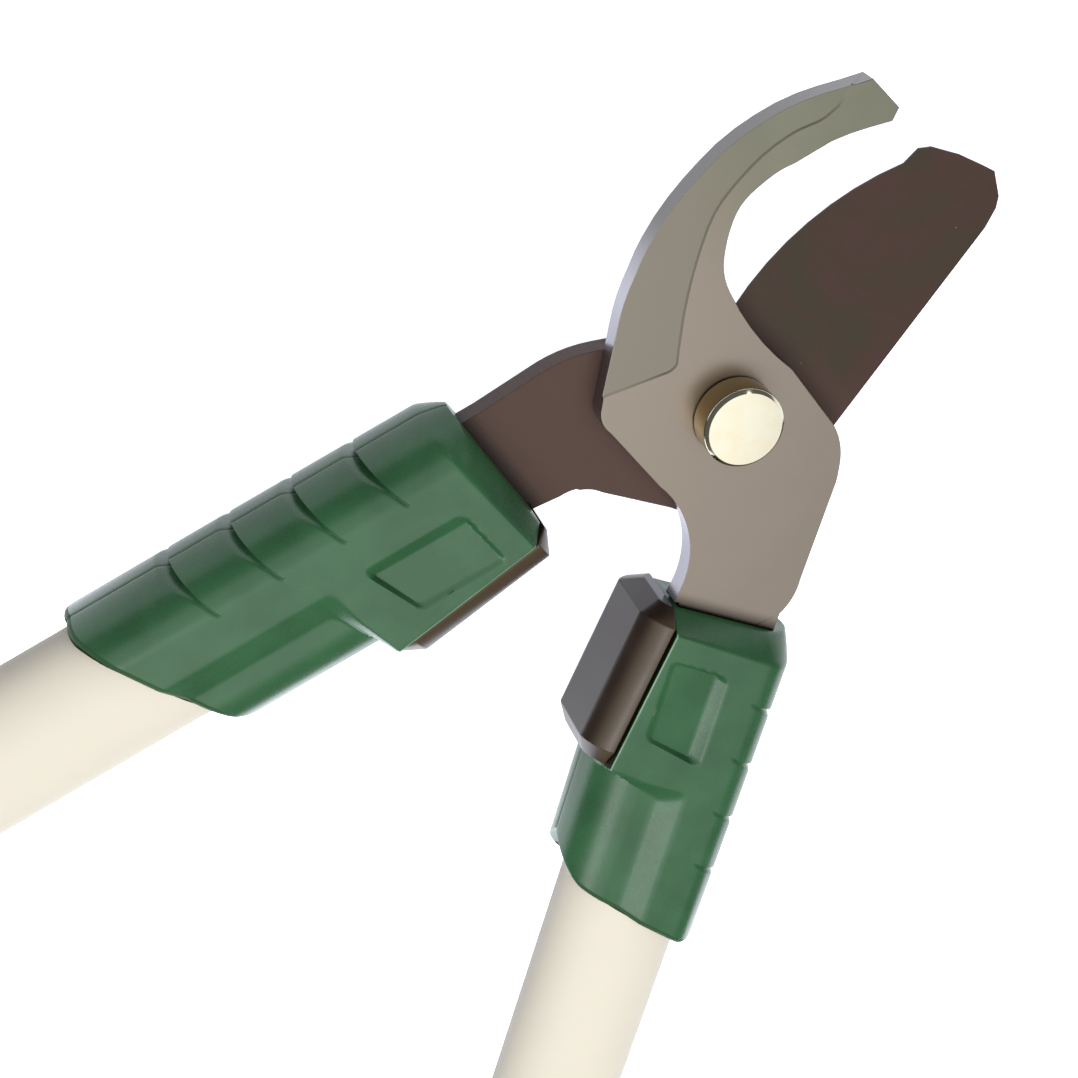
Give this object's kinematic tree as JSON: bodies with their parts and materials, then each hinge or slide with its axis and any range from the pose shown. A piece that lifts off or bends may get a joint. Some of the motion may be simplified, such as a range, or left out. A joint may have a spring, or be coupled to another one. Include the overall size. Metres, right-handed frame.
{
  "type": "lopper",
  "caption": "Bypass lopper: a hooked jaw and a coated cutting blade turn on a pivot bolt, with long oval tube handles, moulded collars, rubber bumpers and grips.",
  "frame": {"origin": "centre of the pivot bolt's flat tail face, on the pivot axis, level with the surface that the lopper lies on", "axes": "+Z along the pivot axis from the bolt's tail to its round head, +Y from the pivot to the jaws along the middle line of the handles, +X towards the hook's handle"},
  "size_m": [0.5632, 0.6257, 0.0289],
  "materials": {
    "satin_steel": "satin nickel plate",
    "blade_coat": "dark brown non-stick coating",
    "yellow_plated_steel": "pale yellow zinc plate",
    "zinc_steel": "bright zinc plate",
    "green_plastic": "fine satin moulding",
    "bumper_rubber": "smooth hard rubber",
    "cream_enamel": "satin powder coat",
    "grip_rubber": "soft matt sleeve",
    "black_plastic": "matt moulding"
  },
  "bodies": {
    "hook_half": {"hook_jaw": "satin_steel", "pivot_bolt": "yellow_plated_steel", "pivot_bush": "zinc_steel", "pivot_washer": "zinc_steel", "pivot_cone_washer": "zinc_steel", "pivot_nut": "zinc_steel", "right_collar_front": "green_plastic", "right_collar_back": "green_plastic", "right_bumper": "bumper_rubber", "right_tube": "cream_enamel", "right_grip": "grip_rubber", "right_end_cap": "black_plastic", "right_collar_screw_1": "zinc_steel", "right_collar_screw_2": "zinc_steel", "right_collar_screw_3": "zinc_steel"},
    "blade_half": {"cutting_blade": "blade_coat", "left_collar_front": "green_plastic", "left_collar_back": "green_plastic", "left_bumper": "bumper_rubber", "left_tube": "cream_enamel", "left_grip": "grip_rubber", "left_end_cap": "black_plastic", "left_collar_screw_1": "zinc_steel", "left_collar_screw_2": "zinc_steel", "left_collar_screw_3": "zinc_steel"}
  },
  "joints": [
    {"name": "jaw_pivot", "type": "hinge", "parent": "hook_half", "child": "blade_half", "pos_m": [0, 0, 0.01455], "axis": [0, 0, 1], "range_deg": [-35, 31.8]}
  ]
}
